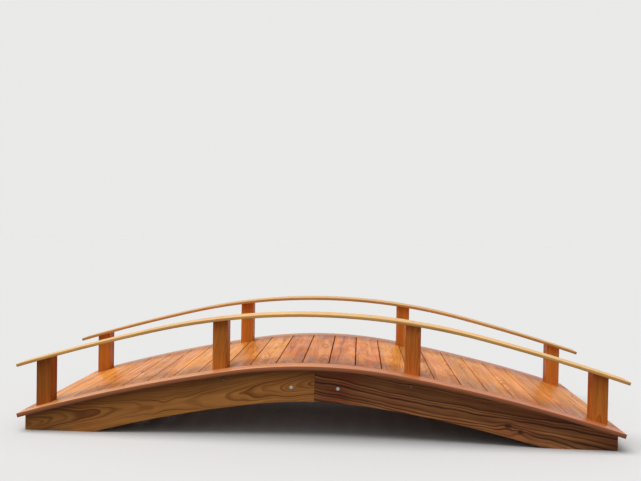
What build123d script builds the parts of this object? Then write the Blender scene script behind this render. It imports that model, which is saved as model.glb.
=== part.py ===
from build123d import *
import os
from math import asin, cos, degrees, sin, sqrt

# Arched garden footbridge in timber. All sizes are in millimetres.
# X runs along the span, Y across it and Z up. The origin lies on the ground under the middle.

# Deck
deck_half_span = 1772.0        # middle to the tip of the deck, measured level
deck_half_width = 625.0
deck_crown_height = 443.0      # top of the deck above the ground at mid-span
deck_crown_radius = 3110.0     # the tighter arc over the crown
deck_crown_half_span = 504.0   # where the crown arc runs into the haunch arc
deck_haunch_radius = 10150.0   # the flatter arc down to each tip
deck_thickness = 25.0
board_width = 151.0
board_gap_wanted = 5.0
board_end_gap = 1.0            # between the end of a board and the edge strip
board_edge_round = 3.0
edge_strip_width = 102.0
edge_strip_round = 5.0

# Side beams and the timbers behind them
beam_thickness = 51.0
beam_end_setback = 31.0        # from the tip of the deck back to the end of the beam
beam_crown_height = 223.0      # underside of the beam above the ground at mid-span
beam_crown_radius = 2470.0
beam_crown_half_span = 307.0
beam_haunch_radius = 6990.0
beam_edge_round = 3.0
beam_joint_gap = 1.0           # open seam where the two halves of a beam meet
header_thickness = 38.0
header_ground_gap = 15.0
ledger_thickness = 38.0
ledger_depth = 89.0
splice_depth = 140.0           # the ledger behind the seam is deeper, as it ties the halves
joist_thickness = 38.0
joist_lap = 600.0              # the two joist halves lie side by side over this length
timber_gap = 2.0               # between the ends of the inner timbers and what they meet
seat_gap = 0.3                 # under the boards, the edge strips and the handrails

# Posts and handrails
post_side = 89.0
post_inner_place = 574.0       # middle of an inner post from mid-span
post_tip_setback = 116.0       # from the tip of the deck back to the middle of an end post
post_edge_round = 3.0
post_notch_gap = 1.5           # between a post and the boards that are notched round it
post_foot_gap = 12.0           # foot of a post above the underside of the beam
rail_crown_height = 736.0
rail_crown_radius = 4170.0
rail_crown_half_span = 987.0
rail_haunch_radius = 13660.0
rail_tip_reach = 49.0          # from the tip of the deck out to the tip of the handrail
rail_width = 127.0
rail_thickness = 19.0
rail_edge_round = 6.0

# Places across the bridge, each measured from its middle
beam_inner_face = deck_half_width - edge_strip_width
beam_outer_face = beam_inner_face + beam_thickness
post_middle = beam_inner_face - post_side / 2
ledger_inner_face = beam_inner_face - ledger_thickness

# Places along the bridge, each measured from mid-span
rail_half_span = deck_half_span + rail_tip_reach
beam_half_length = deck_half_span - beam_end_setback
header_inner_face = beam_half_length - header_thickness
post_outer_place = deck_half_span - post_tip_setback
post_places = (-post_outer_place, -post_inner_place, post_inner_place, post_outer_place)

# A height above everything, for the blocks that are cut to shape
sky = 2 * rail_crown_height


class Arch:
    """Three-centred arch: a crown arc that runs on, tangent, into a flatter arc each side.

    A place on it is named by its slope angle, which is zero at the crown."""

    def __init__(self, crown_height, crown_radius, crown_turn, haunch_radius):
        self.crown_height = crown_height
        self.crown_radius = crown_radius
        self.crown_turn = crown_turn
        self.haunch_radius = haunch_radius

    def lowered(self, depth):
        """The parallel arch at a depth below this one, with the same centres."""
        return Arch(
            self.crown_height - depth,
            self.crown_radius - depth,
            self.crown_turn,
            self.haunch_radius - depth,
        )

    def point(self, angle):
        side = 1 if angle > 0 else -1
        turn = min(abs(angle), self.crown_turn)
        extra = self.haunch_radius * (sin(abs(angle)) - sin(turn))
        drop = self.haunch_radius * (cos(turn) - cos(abs(angle)))
        x = side * (self.crown_radius * sin(turn) + extra)
        z = self.crown_height - self.crown_radius * (1 - cos(turn)) - drop
        return Vector(x, 0, z)

    def angle_at_x(self, x):
        side = 1 if x > 0 else -1
        crown_half_span = self.crown_radius * sin(self.crown_turn)
        if abs(x) <= crown_half_span:
            return asin(x / self.crown_radius)
        reach = (abs(x) - crown_half_span) / self.haunch_radius
        return side * asin(sin(self.crown_turn) + reach)

    def height(self, x):
        return self.point(self.angle_at_x(x)).Z

    def length_to(self, angle):
        turn = min(angle, self.crown_turn)
        return self.crown_radius * turn + self.haunch_radius * (angle - turn)

    def angle_at_length(self, length):
        side = 1 if length > 0 else -1
        turn = min(abs(length) / self.crown_radius, self.crown_turn)
        rest = abs(length) - self.crown_radius * turn
        return side * (turn + rest / self.haunch_radius)

    def ground_x(self):
        """Where the arch comes down to the ground, on its right-hand side."""
        turned = self.crown_height - self.crown_radius * (1 - cos(self.crown_turn))
        end_cosine = cos(self.crown_turn) - turned / self.haunch_radius
        reach = self.haunch_radius * (sqrt(1 - end_cosine**2) - sin(self.crown_turn))
        return self.crown_radius * sin(self.crown_turn) + reach

    def centre(self, angle):
        """The centre of the arc that passes through a slope angle."""
        radius = self.crown_radius if abs(angle) < self.crown_turn else self.haunch_radius
        return self.point(angle) - Vector(sin(angle), 0, cos(angle)) * radius

    def stops(self, start, end):
        """Slope angles from start to end, with the places where one arc meets the next."""
        return [start, *(t for t in (-self.crown_turn, self.crown_turn) if start < t < end), end]

    def edges(self, start, end):
        """The arcs from one slope angle to a larger one."""
        stops = self.stops(start, end)
        return [
            ThreePointArc(self.point(a), self.point((a + b) / 2), self.point(b))
            for a, b in zip(stops, stops[1:])
        ]


deck_top = Arch(
    deck_crown_height,
    deck_crown_radius,
    asin(deck_crown_half_span / deck_crown_radius),
    deck_haunch_radius,
)
timber_top = deck_top.lowered(deck_thickness + seat_gap)
beam_underside = Arch(
    beam_crown_height,
    beam_crown_radius,
    asin(beam_crown_half_span / beam_crown_radius),
    beam_haunch_radius,
)
rail_top = Arch(
    rail_crown_height,
    rail_crown_radius,
    asin(rail_crown_half_span / rail_crown_radius),
    rail_haunch_radius,
)
post_head = rail_top.lowered(rail_thickness + seat_gap)


def across(profile, low_y, high_y):
    """A profile in the XZ plane made solid from one place across the bridge to another."""
    solid = extrude(profile, amount=high_y - low_y, dir=(0, 1, 0))
    return Pos(0, low_y, 0) * solid


def plank_section(low_y, high_y, thickness, edge_round, both_sides):
    """Cross-section of a flat plank, its top at zero, eased on its low side or on both."""
    outline = Pos((low_y + high_y) / 2, -thickness / 2) * Rectangle(high_y - low_y, thickness)
    corners = outline.vertices().sort_by(Axis.X)
    return fillet(corners if both_sides else corners[:2], edge_round)


def bent_strip(arch, half_span, section):
    """A plank bent flatwise along an arch, its ends cut square."""
    end = arch.angle_at_x(half_span)
    stops = arch.stops(-end, end)
    strip = None
    for start, stop in zip(stops, stops[1:]):
        along = (cos(start), 0, -sin(start))
        place = Plane(origin=arch.point(start), x_dir=(0, 1, 0), z_dir=along)
        bend = Axis(arch.centre((start + stop) / 2), (0, 1, 0))
        length = revolve(place * section, axis=bend, revolution_arc=degrees(stop - start))
        strip = strip + length if strip else length
    return strip


def arch_timber(start_x, end_x, low_z_arch, low_y, high_y):
    """A timber sawn to the curve of the deck above and to another arch, or the ground, below."""
    start = timber_top.angle_at_x(start_x)
    end = timber_top.angle_at_x(end_x)
    low_start = max(start_x, -low_z_arch.ground_x())
    low_end = min(end_x, low_z_arch.ground_x())
    start_angle = low_z_arch.angle_at_x(low_start)
    end_angle = low_z_arch.angle_at_x(low_end)
    outline = [
        *timber_top.edges(start, end),
        *low_z_arch.edges(start_angle, end_angle),
    ]
    corners = [timber_top.point(start), Vector(start_x, 0, 0), low_z_arch.point(start_angle)]
    if start_x >= low_start:
        corners.pop(1)
    outline += [Line(a, b) for a, b in zip(corners, corners[1:])]
    corners = [timber_top.point(end), Vector(end_x, 0, 0), low_z_arch.point(end_angle)]
    if end_x <= low_end:
        corners.pop(1)
    outline += [Line(a, b) for a, b in zip(corners, corners[1:])]
    return across(make_face(outline), low_y, high_y)


def mirrored(piece):
    """The same piece on the far side of the bridge."""
    return mirror(piece, about=Plane.XZ)


def post_block(x, allowance):
    """The square column that a post fills, widened by an allowance all round."""
    side = post_side + 2 * allowance
    return Pos(x, -post_middle, 0) * Box(side, side, sky, align=(Align.CENTER, Align.CENTER, Align.MIN))


def deck_boards():
    """Straight boards laid across the arch, notched where the posts come up through them."""
    half_length = deck_top.length_to(deck_top.angle_at_x(deck_half_span))
    count = int((2 * half_length + board_gap_wanted) / (board_width + board_gap_wanted))
    pitch = (2 * half_length - board_width) / (count - 1)
    length = 2 * (beam_inner_face - board_end_gap)
    notches = [post_block(x, post_notch_gap) for x in post_places]
    notches += [mirrored(notch) for notch in notches]
    boards = []
    for i in range(count):
        angle = deck_top.angle_at_length(board_width / 2 - half_length + i * pitch)
        middle = deck_top.point(angle)
        seat = Plane(
            origin=middle,
            x_dir=(cos(angle), 0, -sin(angle)),
            z_dir=(sin(angle), 0, cos(angle)),
        )
        board = Box(
            board_width,
            length,
            deck_thickness,
            align=(Align.CENTER, Align.CENTER, Align.MAX),
        )
        board = fillet(board.faces().sort_by(Axis.Z)[-1].edges().filter_by(Axis.Y), board_edge_round)
        board = seat.location * board
        for notch in notches:
            if abs(notch.center().X - middle.X) < post_side + board_width:
                board -= notch
        boards.append(board)
    return boards


def post(x):
    """A square post from beside the beam up to the handrail, its head cut to the rail's curve."""
    foot = max(beam_underside.height(x - post_side / 2), beam_underside.height(x + post_side / 2), 0)
    column = post_block(x, 0) - Box(2 * sky, 2 * sky, 2 * (foot + post_foot_gap))
    column = fillet(column.edges().filter_by(Axis.Z), post_edge_round)
    end = post_head.angle_at_x(rail_half_span)
    above = [
        *post_head.edges(-end, end),
        Polyline(
            post_head.point(end),
            (rail_half_span, 0, 2 * sky),
            (-rail_half_span, 0, 2 * sky),
            post_head.point(-end),
        ),
    ]
    return column - across(make_face(above), -2 * deck_half_width, 2 * deck_half_width)


def side_beam(side):
    """One half of a side beam, from the seam at mid-span to the square end on the ground."""
    start, end = beam_joint_gap / 2, beam_half_length
    if side < 0:
        start, end = -end, -start
    beam = arch_timber(start, end, beam_underside, -beam_outer_face, -beam_inner_face)
    outer_edges = beam.faces().sort_by(Axis.Y)[0].edges()
    arched_edges = [
        edge
        for edge in outer_edges.filter_by(GeomType.CIRCLE)
        if edge.center().Z < beam_underside.height(edge.center().X) + beam_edge_round
    ]
    return fillet(arched_edges, beam_edge_round)


def ledger():
    """Arched ledgers on a beam's inner face, one in each bay, that carry the board ends."""
    half_post = post_side / 2 + timber_gap
    deep = timber_top.lowered(splice_depth)
    shallow = timber_top.lowered(ledger_depth)
    bays = [
        (-post_outer_place + half_post, -post_inner_place - half_post, shallow),
        (-post_inner_place + half_post, post_inner_place - half_post, deep),
        (post_inner_place + half_post, post_outer_place - half_post, shallow),
    ]
    return Compound(
        [arch_timber(a, b, low, -beam_inner_face, -ledger_inner_face) for a, b, low in bays]
    )


def end_header():
    """Cross timber at one end of the bridge, between the side beams and under the last board."""
    start = timber_top.angle_at_x(header_inner_face)
    end = timber_top.angle_at_x(beam_half_length)
    outline = [
        *timber_top.edges(start, end),
        Polyline(
            timber_top.point(end),
            (beam_half_length, 0, header_ground_gap),
            (header_inner_face, 0, header_ground_gap),
            timber_top.point(start),
        ),
    ]
    return across(make_face(outline), -beam_inner_face, beam_inner_face)


def middle_joist(side):
    """One half of the joist under the middle of the boards, lapped with the other half."""
    start, end = -joist_lap / 2, header_inner_face
    if side < 0:
        start, end = -end, -start
        return arch_timber(start, end, beam_underside, 0, joist_thickness)
    return arch_timber(start, end, beam_underside, -joist_thickness, 0)


pieces = {}
for number, board in enumerate(deck_boards(), 1):
    pieces[f"deck_board_{number:02d}"] = board
for number, place in enumerate(post_places, 1):
    pieces[f"post_front_{number}"] = post(place)
    pieces[f"post_back_{number}"] = mirrored(post(place))

rail_sides = (-post_middle - rail_width / 2, -post_middle + rail_width / 2)
handrail = bent_strip(
    rail_top,
    rail_half_span,
    plank_section(*rail_sides, rail_thickness, rail_edge_round, both_sides=True),
)
strip_sides = (-deck_half_width, -beam_inner_face)
edge_strip = bent_strip(
    deck_top,
    deck_half_span,
    plank_section(*strip_sides, deck_thickness, edge_strip_round, both_sides=False),
)
pieces["handrail_front"] = handrail
pieces["handrail_back"] = mirrored(handrail)
pieces["edge_strip_front"] = edge_strip
pieces["edge_strip_back"] = mirrored(edge_strip)
for word, side in (("left", -1), ("right", 1)):
    pieces[f"side_beam_front_{word}"] = side_beam(side)
    pieces[f"side_beam_back_{word}"] = mirrored(side_beam(side))
    pieces[f"middle_joist_{word}"] = middle_joist(side)
pieces["ledger_front"] = ledger()
pieces["ledger_back"] = mirrored(ledger())
pieces["end_header_right"] = end_header()
pieces["end_header_left"] = mirror(end_header(), about=Plane.YZ)

os.makedirs("parts", exist_ok=True)
for name, piece in pieces.items():
    export_step(piece, f"parts/{name}.step")
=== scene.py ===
import bmesh
import bpy
import random
from math import asin, atan2, cos, pi, radians, sin
from mathutils import Matrix, Vector


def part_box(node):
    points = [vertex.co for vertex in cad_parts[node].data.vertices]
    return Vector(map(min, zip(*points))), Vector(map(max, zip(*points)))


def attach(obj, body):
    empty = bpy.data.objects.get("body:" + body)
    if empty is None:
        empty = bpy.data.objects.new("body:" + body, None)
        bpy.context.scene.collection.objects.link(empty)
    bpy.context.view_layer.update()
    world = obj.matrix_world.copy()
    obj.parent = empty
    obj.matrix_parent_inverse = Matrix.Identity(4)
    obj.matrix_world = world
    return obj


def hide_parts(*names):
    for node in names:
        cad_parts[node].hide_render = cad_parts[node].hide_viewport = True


# Arched timber garden footbridge, in metres.
# X runs along the span, Y across it and Z up.

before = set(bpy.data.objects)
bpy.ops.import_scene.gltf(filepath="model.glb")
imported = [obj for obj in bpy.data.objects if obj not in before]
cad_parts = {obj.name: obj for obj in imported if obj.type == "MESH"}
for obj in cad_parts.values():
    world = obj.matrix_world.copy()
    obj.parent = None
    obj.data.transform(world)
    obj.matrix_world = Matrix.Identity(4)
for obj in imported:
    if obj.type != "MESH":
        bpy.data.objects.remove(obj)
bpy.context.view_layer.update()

# Arches that the bent planks follow, as in the frame
deck_crown_radius = 3.11
deck_crown_half_span = 0.504
deck_haunch_radius = 10.15
rail_crown_radius = 4.17
rail_crown_half_span = 0.987
rail_haunch_radius = 13.66

# Bent planks
rail_thickness = 0.019
rail_edge_round = 0.0045
deck_thickness = 0.025         # of the boards and the edge strips
strip_edge_round = 0.0028
plank_end_ease = 0.0015
crown_steps = 24
haunch_steps = 20
round_steps = 5
ease_steps = 2
weld_distance = 1e-6
smooth_angle = radians(32)     # edges that turn more than this stay sharp

# Noise cells to a metre along a timber, across it and through it
wander_cells = (1.3, 5.0, 5.0)
ripple_cells = (6.5, 11.0, 11.0)
ragged_cells = (9.0, 60.0, 60.0)
fibre_cells = (7.0, 420.0, 420.0)
streak_cells = (1.7, 30.0, 30.0)
sealer_cells = (5.0, 22.0, 22.0)
knot_edge_cells = (60, 90, 90)

# How much of a noise's range is used, from its middle out
narrow_range = (0.3, 0.7)
middle_range = (0.25, 0.75)
wide_range = (0.2, 0.8)

# Knots
knot_cell = (0.46, 0.17, 0.0)  # one knot at most in each such stretch of timber
knot_scatter = 0.85
knot_sizes = (0.6, 1.25)
knot_radius = 0.0085
knot_fade = (0.35, 1.25)       # shares of the radius between which a knot fades out
knot_ragged_edge = (0.75, 1.3)
knot_stretch = (0.62, 1.0, 0.0)  # knots are longer along the grain
knot_flow_radius = 0.034       # the rings are pushed aside this far round a knot
knot_push = 0.021
placed_knot_size = 1.75
no_knot = (9.0, 9.0, 9.0)      # well off the timber

# Growth rings
log_sway_side = 0.02           # how far the middle of the log wanders
log_sway_depth = 0.014
ring_raggedness = 0.0022
good_year_pace = 0.31          # how soon wide rings follow narrow ones
good_year_swing = 3.2
ring_profile = ((0.0, 0.02), (0.42, 0.2), (0.8, 1.0), (0.91, 0.9), (1.0, 0.02))
faintest_ring = 0.45

# Grain of the side beams, which are sawn from straight planks
beam_grain_slope = 0.165
beam_knots = ((1.122, 0.121), (1.192, 0.09))
painted_shade_depth = 0.075             # how far below the edge strip the side beams get painted shade
heart_patch_x = 0.17           # the middle of the darker wood of the right half
heart_patch_reach = 0.19

# Stain, wear and painted shade
heartwood_tint = (0.82, 0.6, 0.62, 1)
heartwood_loss = (0.12, 0.3, 0.22)  # of red, green and blue, in the reddest timber
knot_brown = (0.075, 0.028, 0.012, 1)
end_grain_tint = (0.5, 0.42, 0.38, 1)
soil_brown = (0.055, 0.042, 0.028, 1)
painted_shade_strength = 0.6               # how much darker the painted shade makes the wood at most
streak_range = (-1.0, 0.8)
fibre_shades = (0.9, 1.07)
fibre_roughness = (0.36, 0.5)
ring_smoothness = 0.07
end_grain_roughness = 0.3
soil_roughness = 0.35
ring_relief, fibre_relief, knot_relief = 0.55, 0.45, 0.4
relief_strength = 0.5
end_grain_facing = (0.75, 0.9)  # how squarely a face must cut the grain
end_margin = (-0.0012, -0.0004)  # from the very end of a bent plank
edge_margin = (-0.0022, -0.0004)  # from the side of an edge strip
strip_face_depth = -0.003      # painted shade covers the side of an edge strip below this
strip_face_painted_shade = (0.85, 0.1)
soil_height = 0.075            # above the ground
soil_strength = 0.4
soil_range = (0.35, 0.7)
least_soil = 0.15
blotch_range = (0.4, 0.65)
wear_range = (0.5, 0.75)
sealer_roughness = 0.22
sealer_range = (0.42, 0.68)
metal_roughness = (0.3, 0.5)

# How light each post is, the four at the back first
post_tones = (0.96, 1.04, 1.14, 1.13, 0.63, 0.95, 1.14, 1.0)

# The deck boards, redder over the crown and lighter towards the ends and the left
board_tones = (0.86, 1.07)
board_reds = (0.0, 0.6)
crown_board_reds = (0.6, 1.0)
red_boards_x = 0.08            # the middle of the redder boards
red_boards_reach = 0.32
board_end_lift = 0.03          # a metre
board_left_lift = 0.02

# The edge strips get redder to the right, over this far either side of mid-span
redder_reach = 1.2

# The back handrail
back_rail_tone = 0.84
back_rail_red = 0.3

# Carriage bolts and their washers and nuts
bolt_head_radius = 0.0115
bolt_head_height = 0.0055
bolt_head_rim = 0.12           # share of the height
bolt_head_rings = 5
bolt_radius = 0.0048
bolt_end_ease = 0.001
bolt_stick_out = 0.013
washer_radius = 0.0135
washer_thickness = 0.0022
washer_ease = (0.97, 0.8)      # shares of the radius and the thickness, where its edge is eased
nut_radius = 0.0092
nut_height = 0.0078
nut_ease = 0.0009
blind_end_share = 0.9          # of the nut's height, where a shank ends inside it
lathe_steps = 24
splice_bolt_x = 0.137
splice_bolt_z = 0.305
post_bolt_shifts = (0.03, 0.034, -0.013, -0.03)  # from the middle of each post along the span
post_bolt_drop = 0.033         # below the top of the side beam
post_numbers = (1, 2, 3, 4)    # from the left
inner_posts = (2, 3)

# Screws
screw_head_radius = 0.0042
screw_head_proud = 0.0003
screw_head_depth = 0.0012
screw_recess_radius = 0.0021
screw_recess_depth = 0.001
screw_lobe_depth = 0.72
screw_pair_spread = 0.042      # from the middle line of a board to each of its two screws
screw_post_margin = 0.008
header_screw_places = (-0.48, -0.24, 0.0, 0.24, 0.48)
strip_screw_spacing = 0.29
strip_screw_end_margin = 0.03
strip_screw_stray = 0.006      # how far a screw may lie from its place
rail_screw_spread = 0.022
screw_stray = 0.003

# Floor, light and camera
floor_half_size = 60.0
floor_lighting = (0.15, 0.142, 0.134, 1)  # what bounces up to the bridge
floor_seen = (0.7, 0.7, 0.7, 1)
sun_energy = 2.5
sun_spread = radians(50)
sun_elevation = radians(71)
sun_azimuth = radians(-153)
sky_low = (0.24, 0.238, 0.235, 1)
sky_high = (0.515, 0.509, 0.502, 1)
sky_seen = (0.82, 0.82, 0.815, 1)
camera_place = (0.2512, -4.4379, 1.2349)
camera_yaw, camera_pitch, camera_roll = -0.0597, -0.0166, 0.0174
focal_pixels = 663.47
photo_width = 641


span_axis = Vector((1, 0, 0))
cross_axis = Vector((0, 1, 0))
up_axis = Vector((0, 0, 1))


class Arch:
    """Three-centred arch: a crown arc that runs on into a flatter arc each side."""

    def __init__(self, crown_height, crown_radius, crown_half_span, haunch_radius):
        self.crown_height = crown_height
        self.crown_radius = crown_radius
        self.haunch_radius = haunch_radius
        self.turn = asin(crown_half_span / crown_radius)
        self.crown_centre = Vector((0, 0, crown_height - crown_radius))

    def centre(self, side):
        """The centre of the haunch arc on one side."""
        reach = self.haunch_radius - self.crown_radius
        down = Vector((-side * sin(self.turn), 0, -cos(self.turn)))
        return self.crown_centre + reach * down

    def angle_at_x(self, x):
        side = 1 if x > 0 else -1
        crown_half_span = self.crown_radius * sin(self.turn)
        if abs(x) <= crown_half_span:
            return asin(x / self.crown_radius)
        reach = (abs(x) - crown_half_span) / self.haunch_radius
        return side * asin(sin(self.turn) + reach)

    def angle_at_length(self, length):
        side = 1 if length > 0 else -1
        crown = min(abs(length) / self.crown_radius, self.turn)
        return side * (crown + (abs(length) - self.crown_radius * crown) / self.haunch_radius)

    def point(self, angle):
        if abs(angle) <= self.turn:
            return self.crown_centre + self.crown_radius * Vector((sin(angle), 0, cos(angle)))
        centre = self.centre(1 if angle > 0 else -1)
        return centre + self.haunch_radius * Vector((sin(angle), 0, cos(angle)))

    def along_and_depth(self, point):
        """Arc length from mid-span to a point, and how far the point lies outside the arch."""
        arm = Vector((point.x, 0, point.z)) - self.crown_centre
        angle = atan2(arm.x, arm.z)
        if abs(angle) <= self.turn:
            return self.crown_radius * angle, arm.length - self.crown_radius
        side = 1 if angle > 0 else -1
        arm = Vector((point.x, 0, point.z)) - self.centre(side)
        angle = atan2(arm.x, arm.z)
        extra = self.haunch_radius * (abs(angle) - self.turn)
        return side * (self.crown_radius * self.turn + extra), arm.length - self.haunch_radius


deck_arch = Arch(
    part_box("edge_strip_front")[1].z,
    deck_crown_radius,
    deck_crown_half_span,
    deck_haunch_radius,
)
rail_arch = Arch(
    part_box("handrail_front")[1].z,
    rail_crown_radius,
    rail_crown_half_span,
    rail_haunch_radius,
)


def slope_frame(angle):
    """Axes on an arch: along the slope, across the bridge, and straight out of the surface."""
    along = Vector((cos(angle), 0, -sin(angle)))
    out = Vector((sin(angle), 0, cos(angle)))
    return along, cross_axis, out


def shape_matrix(x_axis, y_axis, z_axis, origin):
    turned = Matrix((x_axis, y_axis, z_axis)).transposed().to_4x4()
    return Matrix.Translation(origin) @ turned


def nodes_named(start):
    return sorted(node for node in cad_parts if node.startswith(start))


def middle_of(node):
    low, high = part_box(node)
    return (low + high) / 2


def add_object(name, data):
    made = bpy.data.objects.new(name, data)
    bpy.context.scene.collection.objects.link(made)
    return made


def new_material(name):
    """A material, its node tree and the inputs of its shader."""
    material = bpy.data.materials.new(name)
    material.use_nodes = True
    tree = material.node_tree
    return material, tree, tree.nodes["Principled BSDF"].inputs


# Shader helpers


def feed(tree, socket, value):
    if isinstance(value, bpy.types.NodeSocket):
        tree.links.new(value, socket)
    else:
        socket.default_value = value


def fill(tree, sockets, values):
    for name, value in values.items():
        feed(tree, sockets[name], value)


def add(tree, kind, inputs=None, **settings):
    """A node with its settings, and its inputs given as values or as links."""
    node = tree.nodes.new(kind)
    for name, value in settings.items():
        setattr(node, name, value)
    fill(tree, node.inputs, inputs or {})
    return node


def calc(tree, operation, *values, clamp=False):
    node = add(tree, "ShaderNodeMath", operation=operation, use_clamp=clamp)
    for socket, value in zip(node.inputs, values):
        feed(tree, socket, value)
    return node.outputs[0]


def vector_calc(tree, operation, *values):
    node = add(tree, "ShaderNodeVectorMath", operation=operation)
    for socket, value in zip(node.inputs, values):
        feed(tree, socket, value)
    return node.outputs["Value" if operation in ("DOT_PRODUCT", "LENGTH") else "Vector"]


def parts_of(tree, vector):
    return add(tree, "ShaderNodeSeparateXYZ", {"Vector": vector}).outputs


def rescale(tree, value, low, high, new_low=0.0, new_high=1.0):
    node = add(
        tree,
        "ShaderNodeMapRange",
        {"Value": value, "From Min": low, "From Max": high, "To Min": new_low, "To Max": new_high},
        interpolation_type="SMOOTHSTEP",
    )
    return node.outputs["Result"]


def blend_colours(tree, factor, first, second, kind="MIX"):
    node = add(tree, "ShaderNodeMix", data_type="RGBA", blend_type=kind, clamp_factor=True)
    feed(tree, node.inputs[0], factor)
    feed(tree, node.inputs[6], first)
    feed(tree, node.inputs[7], second)
    return node.outputs[2]


def stretched_noise(tree, place, seed, cells, detail=2.0, roughness=0.5):
    """Noise with its own size along each axis of the timber."""
    vector = vector_calc(tree, "MULTIPLY", place, cells)
    return add(
        tree,
        "ShaderNodeTexNoise",
        {"Vector": vector, "W": seed, "Scale": 1.0, "Detail": detail, "Roughness": roughness},
        noise_dimensions="4D",
    ).outputs


def plain_noise(tree, place, scale, detail):
    inputs = {"Vector": place, "Scale": scale, "Detail": detail}
    return add(tree, "ShaderNodeTexNoise", inputs).outputs["Fac"]


def group_node(tree, group, inputs):
    return add(tree, "ShaderNodeGroup", inputs, node_tree=group).outputs


def new_group(name, inputs, outputs):
    """An empty node group with named sockets, and the two sets of sockets inside it."""
    group = bpy.data.node_groups.new(name, "ShaderNodeTree")
    kinds = {
        **dict.fromkeys(("Timber", "Place", "First Knot", "Second Knot"), "NodeSocketVector"),
        **dict.fromkeys(("Pale Stain", "Dark Stain", "Colour"), "NodeSocketColor"),
    }
    for side, labels in (("INPUT", inputs), ("OUTPUT", outputs)):
        for label in labels:
            kind = kinds.get(label, "NodeSocketFloat")
            group.interface.new_socket(name=label, in_out=side, socket_type=kind)
    given = group.nodes.new("NodeGroupInput").outputs
    return group, given, group.nodes.new("NodeGroupOutput").inputs


knot_inputs = ("Seed", "Knot Share", "First Knot", "Second Knot")


def make_knots_group():
    """Round knots scattered along a timber, and how far they push the growth rings aside."""
    group, given, out = new_group("Knots", ("Timber", *knot_inputs), ("Knot", "Push"))
    timber = given["Timber"]
    seed = given["Seed"]
    shifted = vector_calc(group, "ADD", timber, seed)
    cells = vector_calc(group, "MULTIPLY", shifted, (1 / knot_cell[0], 1 / knot_cell[1], 0.0))
    voronoi = add(
        group,
        "ShaderNodeTexVoronoi",
        {"Vector": cells, "Scale": 1.0, "Randomness": knot_scatter},
        voronoi_dimensions="3D",
    )
    knot_place = vector_calc(group, "MULTIPLY", voronoi.outputs["Position"], knot_cell)
    flat = vector_calc(group, "MULTIPLY", shifted, (1.0, 1.0, 0.0))
    chance = add(group, "ShaderNodeSeparateColor", {"Color": voronoi.outputs["Color"]})
    absent = calc(group, "GREATER_THAN", chance.outputs["Red"], given["Knot Share"])
    size = rescale(group, chance.outputs["Green"], 0.0, 1.0, *knot_sizes)

    def distance_between(place, knot):
        offset = vector_calc(group, "SUBTRACT", place, knot)
        return vector_calc(group, "LENGTH", vector_calc(group, "MULTIPLY", offset, knot_stretch))

    # A knot that is absent is put a metre away
    distance = calc(group, "DIVIDE", distance_between(flat, knot_place), size)
    distance = calc(group, "ADD", distance, absent)
    for label in ("First Knot", "Second Knot"):
        placed = distance_between(timber, given[label])
        placed = calc(group, "DIVIDE", placed, placed_knot_size)
        distance = calc(group, "MINIMUM", distance, placed)
    ragged = stretched_noise(group, timber, seed, knot_edge_cells)["Fac"]
    edge = rescale(group, ragged, *narrow_range, *knot_ragged_edge)
    edge = calc(group, "MULTIPLY", distance, edge)
    core, rim = (knot_radius * share for share in knot_fade)
    knot = rescale(group, edge, core, rim, 1.0, 0.0)
    flow = rescale(group, distance, 0.0, knot_flow_radius, 1.0, 0.0)
    fill(group, out, {"Knot": knot, "Push": calc(group, "MULTIPLY", flow, knot_push)})
    return group


log_inputs = (*knot_inputs, "Pith Side", "Pith Depth", "Lean", "Bow", "Ring Width", "Ripple")
ring_outputs = ("Rings", "Fibres", "Streaks", "Knot")


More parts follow.
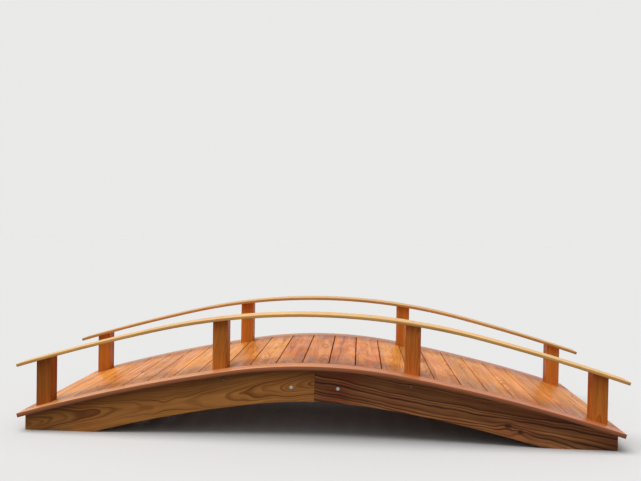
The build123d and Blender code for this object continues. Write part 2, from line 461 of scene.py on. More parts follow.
def make_rings_group(knots):
    """Growth rings of the log that a timber was sawn from, with its fibres and stain streaks."""
    group, given, out = new_group("Growth Rings", ("Timber", *log_inputs), ring_outputs)
    timber = given["Timber"]
    seed = given["Seed"]
    along, across, deep = parts_of(group, timber)

    wander = stretched_noise(group, timber, seed, wander_cells)
    sway = add(group, "ShaderNodeSeparateColor", {"Color": wander["Color"]}).outputs
    side_sway = rescale(group, sway["Red"], *wide_range, -log_sway_side, log_sway_side)
    depth_sway = rescale(group, sway["Green"], *wide_range, -log_sway_depth, log_sway_depth)
    side = calc(group, "SUBTRACT", across, given["Pith Side"])
    side = calc(group, "ADD", side, side_sway)
    depth = calc(group, "SUBTRACT", deep, given["Pith Depth"])
    depth = calc(group, "SUBTRACT", depth, calc(group, "MULTIPLY", along, given["Lean"]))
    bowed = calc(group, "MULTIPLY", calc(group, "MULTIPLY", along, along), given["Bow"])
    depth = calc(group, "SUBTRACT", depth, bowed)
    depth = calc(group, "ADD", depth, depth_sway)
    squares = calc(group, "MULTIPLY_ADD", side, side, calc(group, "MULTIPLY", depth, depth))
    radius = calc(group, "SQRT", squares)

    knot = group_node(group, knots, {label: given[label] for label in ("Timber", *knot_inputs)})
    radius = calc(group, "ADD", radius, knot["Push"])

    ripple = stretched_noise(group, timber, seed, ripple_cells, detail=1.0)["Fac"]
    ripple = rescale(group, ripple, *narrow_range, -1.0, 1.0)
    radius = calc(group, "MULTIPLY_ADD", ripple, given["Ripple"], radius)
    ragged = stretched_noise(group, timber, seed, ragged_cells, detail=3.0)["Fac"]
    ragged = calc(group, "MULTIPLY_ADD", ragged, ring_raggedness, -ring_raggedness / 2)
    radius = calc(group, "ADD", radius, ragged)
    years = calc(group, "DIVIDE", radius, given["Ring Width"])
    pace = calc(group, "MULTIPLY_ADD", years, good_year_pace, seed)
    growth = add(
        group,
        "ShaderNodeTexNoise",
        {"W": pace, "Scale": 1.0, "Detail": 1.0},
        noise_dimensions="1D",
    )
    years = calc(group, "MULTIPLY_ADD", growth.outputs["Fac"], good_year_swing, years)
    ramp = add(group, "ShaderNodeValToRGB", {"Fac": calc(group, "FRACT", years)})
    stops = ramp.color_ramp.elements
    for position, _ in ring_profile[1:-1]:
        stops.new(position)
    for stop, (_, dark) in zip(stops, ring_profile):
        stop.color = (dark, dark, dark, 1)
    year = add(
        group,
        "ShaderNodeTexWhiteNoise",
        {"W": calc(group, "ADD", calc(group, "FLOOR", years), seed)},
        noise_dimensions="1D",
    )
    bold = rescale(group, year.outputs["Value"], 0.0, 1.0, faintest_ring, 1.0)
    fibres = stretched_noise(group, timber, seed, fibre_cells, detail=3.0, roughness=0.65)
    streaks = stretched_noise(group, timber, seed, streak_cells, detail=3.0, roughness=0.6)
    rings = calc(group, "MULTIPLY", ramp.outputs["Color"], bold)
    made = (rings, fibres["Fac"], streaks["Fac"], knot["Knot"])
    fill(group, out, dict(zip(ring_outputs, made)))
    return group


stain_inputs = ("Pale Stain", "Dark Stain", "Ring Strength", "Streak Strength")


def make_stain_group():
    """Colour, roughness and relief of stained softwood, from its rings, fibres and streaks."""
    group, given, out = new_group(
        "Stained Softwood",
        (*ring_outputs, "End Grain", "Painted Shade", "Dirt", "Blotch", *stain_inputs),
        ("Colour", "Roughness", "Relief"),
    )
    rings = given["Rings"]
    fibres = given["Fibres"]
    late = calc(group, "MULTIPLY", rings, given["Ring Strength"])
    colour = blend_colours(group, late, given["Pale Stain"], given["Dark Stain"])
    red = blend_colours(group, 1.0, colour, heartwood_tint, "MULTIPLY")
    colour = blend_colours(group, given["Blotch"], colour, red)
    streak = rescale(group, given["Streaks"], *middle_range, *streak_range)
    streak = calc(group, "MULTIPLY_ADD", streak, given["Streak Strength"], 1.0)
    fibre = rescale(group, fibres, *middle_range, *fibre_shades)
    # Painted shade: darker where shade falls, under the edge strip and down its sides
    painted_shade = calc(group, "MULTIPLY_ADD", given["Painted Shade"], -painted_shade_strength, 1.0)
    shade = calc(group, "MULTIPLY", calc(group, "MULTIPLY", streak, fibre), painted_shade)
    grey = add(group, "ShaderNodeCombineColor", {"Red": shade, "Green": shade, "Blue": shade})
    colour = blend_colours(group, 1.0, colour, grey.outputs["Color"], "MULTIPLY")
    colour = blend_colours(group, given["Knot"], colour, knot_brown)
    end = blend_colours(group, 1.0, colour, end_grain_tint, "MULTIPLY")
    colour = blend_colours(group, given["End Grain"], colour, end)
    colour = blend_colours(group, given["Dirt"], colour, soil_brown)

    rough = rescale(group, fibres, *narrow_range, *fibre_roughness)
    rough = calc(group, "MULTIPLY_ADD", rings, -ring_smoothness, rough)
    rough = calc(group, "MULTIPLY_ADD", given["End Grain"], end_grain_roughness, rough)
    rough = calc(group, "MULTIPLY_ADD", given["Dirt"], soil_roughness, rough, clamp=True)

    relief = calc(group, "MULTIPLY", rings, ring_relief)
    relief = calc(group, "MULTIPLY_ADD", fibres, fibre_relief, relief)
    relief = calc(group, "MULTIPLY_ADD", given["Knot"], knot_relief, relief)
    fill(group, out, {"Colour": colour, "Roughness": rough, "Relief": relief})
    return group


def make_below_strip_group():
    """How far a place on a side beam lies below the edge strip."""
    group, given, out = new_group("Below Strip", ("Place",), ("Depth",))
    along, _, height = parts_of(group, given["Place"])
    along = calc(group, "ABSOLUTE", along)

    def depth_below(centre, radius):
        side = calc(group, "SUBTRACT", along, centre.x)
        up = calc(group, "SUBTRACT", height, centre.z)
        squares = calc(group, "MULTIPLY_ADD", side, side, calc(group, "MULTIPLY", up, up))
        return calc(group, "SUBTRACT", radius - deck_thickness, calc(group, "SQRT", squares))

    crown = depth_below(deck_arch.crown_centre, deck_arch.crown_radius)
    haunch = depth_below(deck_arch.centre(1), deck_arch.haunch_radius)
    on_crown = calc(group, "LESS_THAN", along, deck_crown_half_span)
    more = calc(group, "MULTIPLY", on_crown, calc(group, "SUBTRACT", crown, haunch))
    feed(group, out["Depth"], calc(group, "ADD", haunch, more))
    return group


rings_group = make_rings_group(make_knots_group())
stain_group = make_stain_group()
below_strip_group = make_below_strip_group()


# A timber has these where its look gives none of its own
usual_look = {
    "Ripple": 0.002,
    "Streak Strength": 0.18,
    "First Knot": no_knot,
    "Second Knot": no_knot,
    "gloss": 0.08,
    "coat": 0.02,
}


def timber_finish(name, look, axes=None, centre=None, half_size=None):
    """Stained and sealed softwood.

    look holds the values of the groups' sockets, and of the finish. axes and centre turn a
    straight timber's grain the right way. A bent one reads its own timber attribute and takes
    half its length and half its width."""
    look = {**usual_look, **look}
    material, tree, principled = new_material(name)
    place = add(tree, "ShaderNodeTexCoord").outputs["Object"]
    if axes:
        turned = add(tree, "ShaderNodeMapping", {"Vector": place}, vector_type="TEXTURE")
        turned.inputs["Location"].default_value = centre
        turned.inputs["Rotation"].default_value = Matrix(axes).transposed().to_euler()
        timber = turned.outputs["Vector"]
        normal = add(tree, "ShaderNodeNewGeometry").outputs["Normal"]
        facing = calc(tree, "ABSOLUTE", vector_calc(tree, "DOT_PRODUCT", normal, axes[0]))
        end_grain = rescale(tree, facing, *end_grain_facing)
    else:
        timber = add(tree, "ShaderNodeAttribute", attribute_name="timber").outputs["Vector"]
        along, across, deep = parts_of(tree, timber)
        past_end = calc(tree, "SUBTRACT", calc(tree, "ABSOLUTE", along), half_size[0])
        end_grain = rescale(tree, past_end, *end_margin)
    low = rescale(tree, parts_of(tree, place)["Z"], 0.0, soil_height, 1.0, 0.0)
    patchy = plain_noise(tree, place, scale=9.0, detail=4.0)
    soil = rescale(tree, patchy, *soil_range, least_soil, 1.0)
    dirt = calc(tree, "MULTIPLY", calc(tree, "MULTIPLY", low, soil), soil_strength)
    blotches = plain_noise(tree, place, scale=4.5, detail=2.0)
    blotch = rescale(tree, blotches, *blotch_range, 0.0, look["blotch"])
    painted_shade = 0.0
    # Painted shade on the sides of an edge strip: darker and redder, darkest towards the lower
    # edge. The whole strip also gets redder to the right.
    if "painted_edge_shade" in look:
        past_edge = calc(tree, "SUBTRACT", calc(tree, "ABSOLUTE", across), half_size[1])
        edge = rescale(tree, past_edge, *edge_margin, 0.0, look["painted_edge_shade"])
        blotch = calc(tree, "ADD", blotch, edge, clamp=True)
        low_down = rescale(tree, deep, -deck_thickness, strip_face_depth, *strip_face_painted_shade)
        painted_shade = calc(tree, "MULTIPLY", edge, low_down)
        redder = rescale(tree, along, -redder_reach, redder_reach)
        blotch = calc(tree, "ADD", blotch, redder, clamp=True)
    if "heart_patch" in look:
        from_patch = calc(tree, "SUBTRACT", parts_of(tree, place)["X"], heart_patch_x)
        away = calc(tree, "ABSOLUTE", from_patch)
        patch = rescale(tree, away, 0.0, heart_patch_reach, look["heart_patch"], 0.0)
        blotch = calc(tree, "ADD", blotch, patch, clamp=True)
    # Painted shade on a side beam, darkest just under the edge strip
    if "painted_shade" in look:
        below = group_node(tree, below_strip_group, {"Place": place})["Depth"]
        painted_shade = rescale(tree, below, 0.0, painted_shade_depth, look["painted_shade"], 0.0)
    log = {label: look[label] for label in log_inputs}
    rings = group_node(tree, rings_group, {"Timber": timber, **log})
    stained = group_node(
        tree,
        stain_group,
        {
            **{label: rings[label] for label in ring_outputs},
            **{label: look[label] for label in stain_inputs},
            "End Grain": end_grain,
            "Painted Shade": painted_shade,
            "Dirt": dirt,
            "Blotch": blotch,
        },
    )
    relief = {"Height": stained["Relief"], "Distance": look["relief"]}
    bump = add(tree, "ShaderNodeBump", {**relief, "Strength": relief_strength})
    fill(
        tree,
        principled,
        {
            "Base Color": stained["Colour"],
            "Roughness": stained["Roughness"],
            "Normal": bump.outputs["Normal"],
            "Specular IOR Level": look["gloss"],
            "Coat Weight": look["coat"],
            "Coat Roughness": sealer_roughness,
        },
    )
    if "sealer_patches" in look:
        sealer = stretched_noise(tree, timber, look["Seed"], sealer_cells, detail=3.0)["Fac"]
        sealer = rescale(tree, sealer, *sealer_range, look["coat"], look["sealer_patches"])
        feed(tree, principled["Coat Weight"], sealer)
    return material


def stain(red, green, blue):
    """A linear colour from the red, green and blue of a screen colour."""

    def linear(value):
        share = value / 255
        return share / 12.92 if share <= 0.04045 else ((share + 0.055) / 1.055) ** 2.4

    return (linear(red), linear(green), linear(blue), 1)


def toned(colour, tone, red=0.0):
    """A stain made lighter or darker, and redder where the timber is heartwood."""
    kept = (1 - loss * red for loss in heartwood_loss)
    return (*(min(1.0, channel * tone * share) for channel, share in zip(colour, kept)), 1)


# Stains and metals, from screen colours
board_pale = stain(232, 156, 66)
board_dark = stain(174, 86, 32)
strip_pale = stain(227, 159, 99)
strip_dark = stain(164, 95, 56)
rail_pale = stain(238, 187, 106)
rail_dark = stain(202, 134, 74)
post_pale = stain(216, 132, 54)
post_dark = stain(166, 86, 32)
left_beam_pale = stain(216, 146, 77)
left_beam_dark = stain(126, 70, 31)
right_beam_pale = stain(192, 126, 76)
right_beam_dark = stain(72, 40, 22)
inner_pale = stain(188, 134, 84)
inner_dark = stain(132, 82, 48)
zinc_dark = stain(150, 147, 144)
zinc_pale = stain(200, 197, 192)
# darker, browner zinc for the inner post bolt heads: painted shade of the edge strip's overhang
painted_shade_zinc_dark = stain(88, 66, 46)
painted_shade_zinc_pale = stain(118, 94, 70)
screw_brown = stain(104, 66, 40)
screw_worn = stain(150, 112, 80)


def bolt_finish(name, dark, pale, metallic):
    """Plated steel with a dull mottle."""
    material, tree, principled = new_material(name)
    place = add(tree, "ShaderNodeTexCoord").outputs["Object"]
    mottle = plain_noise(tree, place, scale=260.0, detail=3.0)
    colour = blend_colours(tree, mottle, dark, pale)
    rough = rescale(tree, mottle, *narrow_range, *metal_roughness)
    fill(tree, principled, {"Base Color": colour, "Roughness": rough, "Metallic": metallic})
    return material


def screw_finish():
    """Brown coated deck screws."""
    material, tree, principled = new_material("brown_screw_coat")
    place = add(tree, "ShaderNodeTexCoord").outputs["Object"]
    worn = rescale(tree, plain_noise(tree, place, scale=45.0, detail=2.0), *wear_range)
    colour = blend_colours(tree, worn, screw_brown, screw_worn)
    fill(tree, principled, {"Base Color": colour, "Roughness": 0.45, "Metallic": 0.4})
    return material


def set_finish(node, look, axes, centre):
    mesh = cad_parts[node].data
    mesh.materials.clear()
    mesh.materials.append(timber_finish(node + "_stain", look, axes, centre))


def sawn_from_log(draw, lean, bow, ring_widths, pith_sides=(-1, 1)):
    """Where in its log a timber was sawn, drawn at random."""
    return {
        "Seed": draw.uniform(0, 90),
        "Pith Side": draw.uniform(-0.07, 0.07),
        "Pith Depth": draw.choice(pith_sides) * draw.uniform(0.05, 0.1),
        "Lean": draw.uniform(-lean, lean),
        "Bow": draw.uniform(-bow, bow),
        "Ring Width": draw.uniform(*ring_widths),
    }


def board_axes(node):
    """Grain across the bridge, width along the slope, face up, and the middle of the board."""
    centre = middle_of(node)
    along, across, out = slope_frame(deck_arch.angle_at_x(centre.x))
    return (across, -along, out), centre


def finish_deck_boards():
    """Each board comes from its own log, so each has its own grain and tone."""
    draw = random.Random(41)
    for node in nodes_named("deck_board"):
        axes, centre = board_axes(node)
        lift = board_end_lift * abs(centre.x) - board_left_lift * centre.x
        tone = draw.uniform(*board_tones) * (1 + lift)
        over_crown = abs(centre.x - red_boards_x) < red_boards_reach
        red = draw.uniform(*(crown_board_reds if over_crown else board_reds))
        look = {
            **sawn_from_log(draw, 0.05, 0.09, (0.0045, 0.0075), pith_sides=(-1, -1, 1)),
            "Knot Share": draw.uniform(0.0, 0.12),
            "Pale Stain": toned(board_pale, tone, red),
            "Dark Stain": toned(board_dark, tone, red),
            "Ring Strength": draw.uniform(0.7, 1.0),
            "blotch": draw.uniform(0.2, 0.9),
            "Streak Strength": 0.3,
            "relief": 0.0008,
            "sealer_patches": 0.34,
            "Ripple": 0.0012,
        }
        set_finish(node, look, axes, centre)


def finish_posts():
    draw = random.Random(7)
    axes = (up_axis, span_axis, cross_axis)
    for node, tone in zip(nodes_named("post"), post_tones):
        look = {
            **sawn_from_log(draw, 0.03, 0.03, (0.005, 0.007)),
            "Knot Share": 0.12,
            "Pale Stain": toned(post_pale, tone),
            "Dark Stain": toned(post_dark, tone),
            "Ring Strength": draw.uniform(0.5, 0.8),
            "blotch": 0.5,
            "relief": 0.0007,
        }
        set_finish(node, look, axes, middle_of(node))


def beam_axes(node, side):
    """Grain along the half beam's slope, face turned out of the bridge, and its middle."""
    centre = middle_of(node)
    grain = Vector((cos(beam_grain_slope), 0, -side * sin(beam_grain_slope)))
    out = Vector((0, 1 if centre.y > 0 else -1, 0))
    return (grain, out.cross(grain), out), centre


def finish_side_beams():
    """The left halves show bold cathedral grain, and the right ones long dark stripes."""
    for row, word in enumerate(("front", "back")):
        left = {
            "Seed": 75.3 + row,
            "Pith Side": -0.02,
            "Pith Depth": -0.072,
            "Lean": 0.0,
            "Bow": 0.085,
            "Ring Width": 0.009,
            "Ripple": 0.0035,
            "Knot Share": 0.0,
            "Streak Strength": 0.22,
            "Pale Stain": left_beam_pale,
            "Dark Stain": left_beam_dark,
            "Ring Strength": 0.9,
            "blotch": 0.3,
            # painted shade under the edge strip
            "painted_shade": 0.9,
            "relief": 0.0008,
            "gloss": 0.12,
        }
        right = {
            **left,
            "Seed": 47.4 + row,
            "Pith Side": 0.2,
            "Pith Depth": -0.05,
            "Lean": 0.02,
            "Bow": 0.0,
            "Ring Width": 0.025,
            "Ring Strength": 1.0,
            "Ripple": 0.004,
            "Streak Strength": 0.5,
            "heart_patch": 0.6,
            # painted shade under the edge strip
            "painted_shade": 0.45,
            "Pale Stain": right_beam_pale,
            "Dark Stain": right_beam_dark,
            "blotch": 0.5,
        }
        for side_word, side, look in (("left", -1, left), ("right", 1, right)):
            node = f"side_beam_{word}_{side_word}"
            axes, centre = beam_axes(node, side)
            if side > 0:
                knots = [Vector((x, centre.y, z)) - centre for x, z in beam_knots]
                knots = [Matrix(axes) @ knot for knot in knots]
                look = {**look, "First Knot": knots[0], "Second Knot": knots[1]}
            set_finish(node, look, axes, centre)


def finish_inner_timbers():
    """The ledgers, joist and headers under the boards, less sanded than the rest."""
    draw = random.Random(23)
    level = (span_axis, up_axis, -cross_axis)
    crosswise = (cross_axis, up_axis, span_axis)
    names = ("ledger_front", "ledger_back", "middle_joist_left", "middle_joist_right")
    for node in (*names, "end_header_left", "end_header_right"):
        look = {
            "Seed": draw.uniform(0, 90),
            "Pith Side": draw.uniform(-0.05, 0.05),
            "Pith Depth": -0.06,
            "Lean": 0.01,
            "Bow": 0.03,
            "Ring Width": 0.0055,
            "Knot Share": 0.3,
            "Pale Stain": inner_pale,
            "Dark Stain": inner_dark,
            "Ring Strength": 0.7,
            "blotch": 0.4,
            "relief": 0.001,
            "gloss": 0.2,
            "coat": 0.0,
        }
        axes = crosswise if node.startswith("end_header") else level
        set_finish(node, look, axes, middle_of(node))


# New pieces


def mesh_of(shape, name):
    mesh = bpy.data.meshes.new(name)
    shape.to_mesh(mesh)
    shape.free()
    return mesh


def round_off(shape, geom, offset, segments, affect="EDGES"):
    """Bevels edges or corners, and returns the corners that it made."""
    return bmesh.ops.bevel(
        shape,
        geom=geom,
        affect=affect,
        offset=offset,
        segments=segments,
        profile=0.5,
        material=-1,
    )["verts"]


def finished_object(name, shape, material):
    """Turns a bmesh into a smooth object of the bridge that rides with the frame."""
    mesh = mesh_of(shape, name)
    mesh.shade_smooth()
    mesh.set_sharp_from_angle(angle=smooth_angle)
    mesh.materials.append(material)
    piece = add_object(name, mesh)
    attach(piece, "root")
    return piece


def bent_plank(name, node, arch, thickness, edge_round, round_both, look):
    """A plank bent along an arch: its rounded section is spun about the centre of each arc."""
    low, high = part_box(node)
    end = arch.angle_at_x(high.x)
    shape = bmesh.new()
    corners = [(low.y, -thickness), (high.y, -thickness), (high.y, 0), (low.y, 0)]
    verts = [shape.verts.new((0, y, z)) for y, z in corners]
    shape.faces.new(verts)
    middle = (low.y + high.y) / 2
    rounded = [v for v in verts if round_both or abs(v.co.y) > abs(middle)]
    round_off(shape, rounded, edge_round, round_steps, affect="VERTICES")
    along, across, out = slope_frame(-end)
    place = shape_matrix(along, across, out, arch.point(-end))
    bmesh.ops.transform(shape, matrix=place, verts=shape.verts)
    bmesh.ops.delete(shape, geom=shape.faces[:], context="FACES_ONLY")
    runs = [
        (arch.centre(-1), end - arch.turn, haunch_steps),
        (arch.crown_centre, 2 * arch.turn, crown_steps),
        (arch.centre(1), end - arch.turn, haunch_steps),
    ]
    ring = shape.edges[:]
    for centre, turn, steps in runs:
        spun = bmesh.ops.spin(
            shape, geom=ring, cent=centre, axis=(0, 1, 0), angle=turn, steps=steps
        )
        ring = [g for g in spun["geom_last"] if isinstance(g, bmesh.types.BMEdge)]
    bmesh.ops.holes_fill(shape, edges=[e for e in shape.edges if e.is_boundary], sides=0)
    bmesh.ops.remove_doubles(shape, verts=shape.verts, dist=weld_distance)
    bmesh.ops.recalc_face_normals(shape, faces=shape.faces)
    ends = [e for f in shape.faces if len(f.verts) > 4 for e in f.edges]
    round_off(shape, ends, plank_end_ease, ease_steps)
    timber = shape.verts.layers.float_vector.new("timber")
    for vert in shape.verts:
        length, outside = arch.along_and_depth(vert.co)
        vert[timber] = (length, vert.co.y - middle, outside)
    half_length = max(vert[timber].x for vert in shape.verts)
    half_size = (half_length, (high.y - low.y) / 2)
    material = timber_finish(name + "_stain", look, half_size=half_size)
    piece = finished_object(name, shape, material)
    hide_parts(node)


def bent_planks():
    """Both handrails and both edge strips."""
    for row, word in enumerate(("front", "back")):
        rail = {
            "Seed": 3.0 + 5 * row,
            "Pith Side": 0.05,
            "Pith Depth": -0.07,
            "Lean": 0.004,
            "Bow": 0.004,
            "Ring Width": 0.006,
            "Knot Share": 0.0,
            "Pale Stain": rail_pale,
            "Dark Stain": rail_dark,
            "Ring Strength": 0.6,
            "blotch": 0.15,
            "relief": 0.0005,
            "gloss": 0.25,
            "coat": 0.12,
        }
        if word == "back":
            rail["Pale Stain"] = toned(rail_pale, back_rail_tone, back_rail_red)
            rail["Dark Stain"] = toned(rail_dark, back_rail_tone, back_rail_red)
        strip = {
            **rail,
            "Seed": 17.0 + 5 * row,
            "Pith Side": -0.04,
            "Pale Stain": strip_pale,
            "Dark Stain": strip_dark,
            "blotch": 0.2,
            # painted shade on the strip's sides
            "painted_edge_shade": 1.0,
        }
        bent_plank(
            f"rail_plank_{word}", f"handrail_{word}", rail_arch, rail_thickness,
            rail_edge_round, round_both=True, look=rail,
        )
        bent_plank(
            f"edge_plank_{word}", f"edge_strip_{word}", deck_arch, deck_thickness,
            strip_edge_round, round_both=False, look=strip,
        )


def lathe(shape, outline):
    """Turns an outline of radii and heights round the Z axis, and returns the new corners."""
    verts = [shape.verts.new((radius, 0, height)) for radius, height in outline]
    edges = [shape.edges.new(pair) for pair in zip(verts, verts[1:])]
    known = set(shape.verts) - set(verts)
    bmesh.ops.spin(
        shape, geom=verts + edges, cent=(0, 0, 0), axis=(0, 0, 1),
        angle=2 * pi, steps=lathe_steps, use_merge=True,
    )
    made = [v for v in shape.verts if v not in known]
    bmesh.ops.remove_doubles(shape, verts=made, dist=weld_distance)
    made = [v for v in shape.verts if v not in known]
    bmesh.ops.recalc_face_normals(shape, faces=list({f for v in made for f in v.link_faces}))
    return made


def add_bolt_head(shape, place):
    """The low dome of a carriage bolt, with a thin rim."""
    outline = []
    for step in range(bolt_head_rings + 1):
        turn = pi / 2 * step / bolt_head_rings
        height = bolt_head_height * max(cos(turn), bolt_head_rim)
        outline.append((bolt_head_radius * sin(turn), height))
    outline.append((bolt_head_radius, 0))
    bmesh.ops.transform(shape, matrix=place, verts=lathe(shape, outline))


def add_nut(shape, place, stick_out):
    """A washer, a six-sided nut with eased corners and the end of the bolt.

    With no bolt sticking out it is the head of a coach screw, whose shank ends inside it."""
    end_height = max(stick_out, washer_thickness + nut_height * blind_end_share)
    washer = lathe(
        shape,
        [
            (bolt_radius, 0),
            (bolt_radius, washer_thickness),
            (washer_radius * washer_ease[0], washer_thickness),
            (washer_radius, washer_thickness * washer_ease[1]),
            (washer_radius, 0),
        ],
    )
    bolt_end = lathe(
        shape,
        [
            (bolt_radius, 0),
            (bolt_radius, end_height - bolt_end_ease),
            (bolt_radius - bolt_end_ease, end_height),
            (0, end_height),
        ],
    )
    nut = bmesh.ops.create_cone(
        shape, cap_ends=True, segments=6, radius1=nut_radius, radius2=nut_radius, depth=nut_height
    )["verts"]
    lift = Matrix.Translation((0, 0, washer_thickness + nut_height / 2))
    bmesh.ops.transform(shape, matrix=lift, verts=nut)
    top = washer_thickness + nut_height
    upper = [v for v in nut if abs(v.co.z - top) < nut_height / 2]
    rim = dict.fromkeys(e for v in upper for e in v.link_edges if e.other_vert(v) in upper)
    eased = round_off(shape, list(rim), nut_ease, ease_steps)
    nut = {v for v in (*nut, *eased) if v.is_valid}
    bmesh.ops.transform(shape, matrix=place, verts=list({*washer, *bolt_end, *nut}))


def carriage_bolts():
    """Bolts through each side beam: two at the splice and one at each inner post.

    The end posts are held by coach screws, driven from inside and blind in the beam. The heads
    at the inner posts are a darker, browner zinc: painted shade of the edge strip's overhang."""
    zinc = bolt_finish("zinc_plate", zinc_dark, zinc_pale, metallic=0.85)
    shaded_zinc_finish = bolt_finish(
        "zinc_with_painted_shade", painted_shade_zinc_dark, painted_shade_zinc_pale, metallic=0.3
    )
    for word, side in (("front", -1), ("back", 1)):
        outer, inner = (0, 1) if side < 0 else (1, 0)  # corners of a box
        beam_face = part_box(f"side_beam_{word}_left")[outer].y
        post_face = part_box(f"post_{word}_1")[inner].y
        splice_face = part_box(f"ledger_{word}")[inner].y
        bolts = [(x, splice_bolt_z, splice_face, True) for x in (-splice_bolt_x, splice_bolt_x)]
        for number, shift in zip(post_numbers, post_bolt_shifts):
            x = middle_of(f"post_{word}_{number}").x + shift
            beam_top = deck_arch.point(deck_arch.angle_at_x(x)).z - deck_thickness
            through = number in inner_posts
            bolts.append((x, beam_top - post_bolt_drop, post_face, through))
        splice_heads = bmesh.new()
        post_heads = bmesh.new()
        nuts = bmesh.new()
        outward = Vector((0, side, 0))
        for turn, (x, z, inner_face, through) in enumerate(bolts):
            if through:
                heads = splice_heads if inner_face == splice_face else post_heads
                point = Vector((x, beam_face, z))
                level = shape_matrix(span_axis, outward.cross(span_axis), outward, point)
                add_bolt_head(heads, level)
            spun = Vector((cos(turn), 0, sin(turn)))
            inward = -outward
            nut_place = shape_matrix(spun, inward.cross(spun), inward, Vector((x, inner_face, z)))
            add_nut(nuts, nut_place, bolt_stick_out if through else 0.0)
        finished_object(f"splice_bolt_heads_{word}", splice_heads, zinc)
        finished_object(f"post_bolt_heads_{word}", post_heads, shaded_zinc_finish)
        finished_object(f"bolt_nuts_{word}", nuts, zinc)


def screw_shape():
    """A flat screw head with a six-pointed recess, its top at zero."""
    shape = bmesh.new()
    bmesh.ops.create_circle(shape, cap_ends=True, segments=12, radius=screw_head_radius)
    shape.faces.ensure_lookup_table()
    face = shape.faces[0]
    skirt = bmesh.ops.extrude_edge_only(shape, edges=shape.edges[:])["geom"]
    skirt = [v for v in skirt if isinstance(v, bmesh.types.BMVert)]
    bmesh.ops.translate(shape, vec=(0, 0, -screw_head_depth), verts=skirt)
    recess_inset = screw_head_radius - screw_recess_radius
    bmesh.ops.inset_region(shape, faces=[face], thickness=recess_inset, use_even_offset=True)
    bmesh.ops.scale(shape, vec=(screw_lobe_depth, screw_lobe_depth, 1), verts=face.verts[:][::2])
    pit = bmesh.ops.extrude_discrete_faces(shape, faces=[face])["faces"][0]
    bmesh.ops.translate(shape, vec=(0, 0, -screw_recess_depth), verts=pit.verts)
    bmesh.ops.recalc_face_normals(shape, faces=shape.faces)
    return mesh_of(shape, "screw_shape")


def add_screw(shape, screw, point, out, turn):
    """One screw head, turned at will, its top just above the wood."""
    helper = span_axis if abs(out.x) < abs(out.z) else up_axis
    side = (helper - helper.dot(out) * out).normalized()
    spun = Matrix.Rotation(turn, 3, out) @ side
    before = len(shape.verts)
    shape.from_mesh(screw)
    shape.verts.ensure_lookup_table()
    place = shape_matrix(spun, out.cross(spun), out, point + screw_head_proud * out)
    bmesh.ops.transform(shape, matrix=place, verts=shape.verts[before:])


def deck_screws(screw, material):
    """Two screws where each board crosses a ledger or the joist, and a row in each end header."""
    draw = random.Random(5)
    shape = bmesh.new()
    ledger_y = middle_of("ledger_back").y
    joist_y = middle_of("middle_joist_left").y
    header_x = middle_of("end_header_right").x
    posts = [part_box(f"post_back_{number}") for number in post_numbers]
    for node in nodes_named("deck_board"):
        (_, _, out), centre = board_axes(node)
        along = Vector((out.z, 0, -out.x))
        low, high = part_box(node)
        if low.x < header_x < high.x or low.x < -header_x < high.x:
            x = header_x if centre.x > 0 else -header_x
            places = [(x, y) for y in header_screw_places]
        else:
            rows = (-ledger_y, -joist_y if centre.x > 0 else joist_y, ledger_y)
            places = [
                (centre.x + step * along.x, y)
                for step in (-screw_pair_spread, screw_pair_spread)
                for y in rows
            ]
        top_middle = centre + out * deck_thickness / 2
        for x, y in places:
            in_post = any(a.x - screw_post_margin < x < b.x + screw_post_margin for a, b in posts)
            if in_post and abs(y) > posts[0][0].y:
                continue
            reach = (x - top_middle.x) / along.x
            point = top_middle + along * (reach + draw.uniform(-screw_stray, screw_stray))
            point.y = y + draw.uniform(-screw_stray, screw_stray)
            add_screw(shape, screw, point, out, draw.uniform(0, pi))
    finished_object("deck_screws", shape, material)


def strip_screws(screw, material):
    """One row of screws down each edge strip, into the side beam under it."""
    draw = random.Random(6)
    shape = bmesh.new()
    end_length = deck_arch.along_and_depth(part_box("end_header_right")[1])[0]
    count = round(2 * end_length / strip_screw_spacing)
    for word in ("front", "back"):
        beam_y = middle_of(f"side_beam_{word}_left").y
        for number in range(count + 1):
            length = (2 * number / count - 1) * (end_length - strip_screw_end_margin)
            length += draw.uniform(-strip_screw_stray, strip_screw_stray)
            angle = deck_arch.angle_at_length(length)
            point = deck_arch.point(angle)
            point.y = beam_y + draw.uniform(-screw_stray, screw_stray)
            add_screw(shape, screw, point, slope_frame(angle)[2], draw.uniform(0, pi))
    finished_object("edge_strip_screws", shape, material)


def rail_screws(screw, material):
    """Two screws through the handrail into the head of each post."""
    draw = random.Random(8)
    shape = bmesh.new()
    for word in ("front", "back"):
        for number in post_numbers:
            post = middle_of(f"post_{word}_{number}")
            angle = rail_arch.angle_at_x(post.x)
            for spread in (-rail_screw_spread, rail_screw_spread):
                point = rail_arch.point(angle)
                point.y = post.y + spread
                add_screw(shape, screw, point, slope_frame(angle)[2], draw.uniform(0, pi))
    finished_object("rail_screws", shape, material)


finish_deck_boards()
finish_posts()
finish_side_beams()
finish_inner_timbers()
bent_planks()
carriage_bolts()
screw = screw_shape()
screw_coat = screw_finish()
deck_screws(screw, screw_coat)
strip_screws(screw, screw_coat)
rail_screws(screw, screw_coat)
bpy.data.meshes.remove(screw)


# Stage: floor, light and camera


def seen_directly(tree):
    """One for rays from the camera, a mirror or glass, and zero for light that bounces."""
    rays = add(tree, "ShaderNodeLightPath")
    seen = calc(tree, "ADD", rays.outputs["Is Camera Ray"], rays.outputs["Is Glossy Ray"])
    return calc(tree, "ADD", seen, rays.outputs["Is Transmission Ray"], clamp=True)


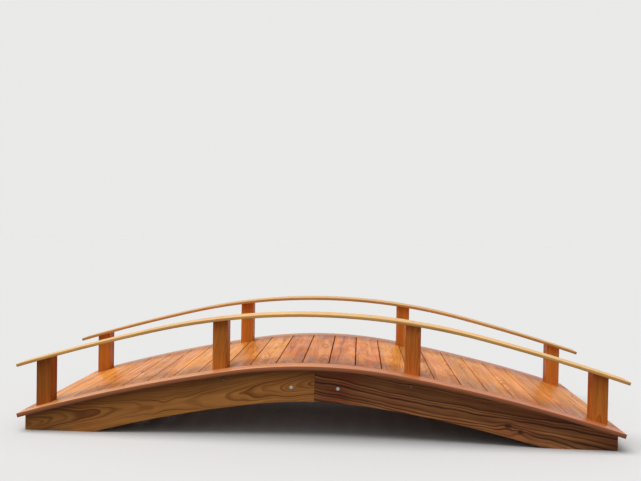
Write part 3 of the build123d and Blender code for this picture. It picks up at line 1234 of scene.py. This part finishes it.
def add_floor():
    """A wide pale floor. Only what the camera sees of it is near white."""
    shape = bmesh.new()
    bmesh.ops.create_grid(shape, x_segments=1, y_segments=1, size=floor_half_size)
    floor = add_object("floor", mesh_of(shape, "floor"))
    material, tree, principled = new_material("pale_floor")
    colour = blend_colours(tree, seen_directly(tree), floor_lighting, floor_seen)
    matt = {"Roughness": 0.95, "Specular IOR Level": 0.0}
    fill(tree, principled, {"Base Color": colour, **matt})
    floor.data.materials.append(material)


def add_light():
    """A soft high sun from the camera's left, and a pale sky that is brighter overhead."""
    lamp = bpy.data.lights.new("soft_sun", "SUN")
    lamp.energy = sun_energy
    lamp.angle = sun_spread
    sun = add_object("soft_sun", lamp)
    level = Vector((cos(sun_azimuth), sin(sun_azimuth), 0))
    toward = cos(sun_elevation) * level + Vector((0, 0, sin(sun_elevation)))
    sun.rotation_euler = toward.to_track_quat("Z", "Y").to_euler()
    world = bpy.data.worlds.new("pale_sky")
    bpy.context.scene.world = world
    world.use_nodes = True
    tree = world.node_tree
    background = tree.nodes["Background"].inputs
    direction = add(tree, "ShaderNodeTexCoord").outputs["Generated"]
    height = calc(tree, "MAXIMUM", parts_of(tree, direction)["Z"], 0.0)
    lit = blend_colours(tree, height, sky_low, sky_high)
    colour = blend_colours(tree, seen_directly(tree), lit, sky_seen)
    fill(tree, background, {"Color": colour, "Strength": 1.0})


def add_camera():
    """The camera, where the lines of the bridge put it."""
    yaw, pitch, roll = camera_yaw, camera_pitch, camera_roll
    lens = bpy.data.cameras.new("camera")
    lens.sensor_width = 36.0
    lens.sensor_fit = "HORIZONTAL"
    lens.lens = lens.sensor_width * focal_pixels / photo_width
    lens.clip_end = 200.0
    camera = add_object("camera", lens)
    forward = Vector((sin(yaw) * cos(pitch), cos(yaw) * cos(pitch), sin(pitch)))
    level_right = Vector((cos(yaw), -sin(yaw), 0))
    level_up = level_right.cross(forward)
    right = cos(roll) * level_right + sin(roll) * level_up
    up = -sin(roll) * level_right + cos(roll) * level_up
    camera.matrix_world = shape_matrix(right, up, -forward, Vector(camera_place))
    bpy.context.scene.camera = camera


add_floor()
add_light()
add_camera()
bpy.context.scene.view_settings.view_transform = "Standard"
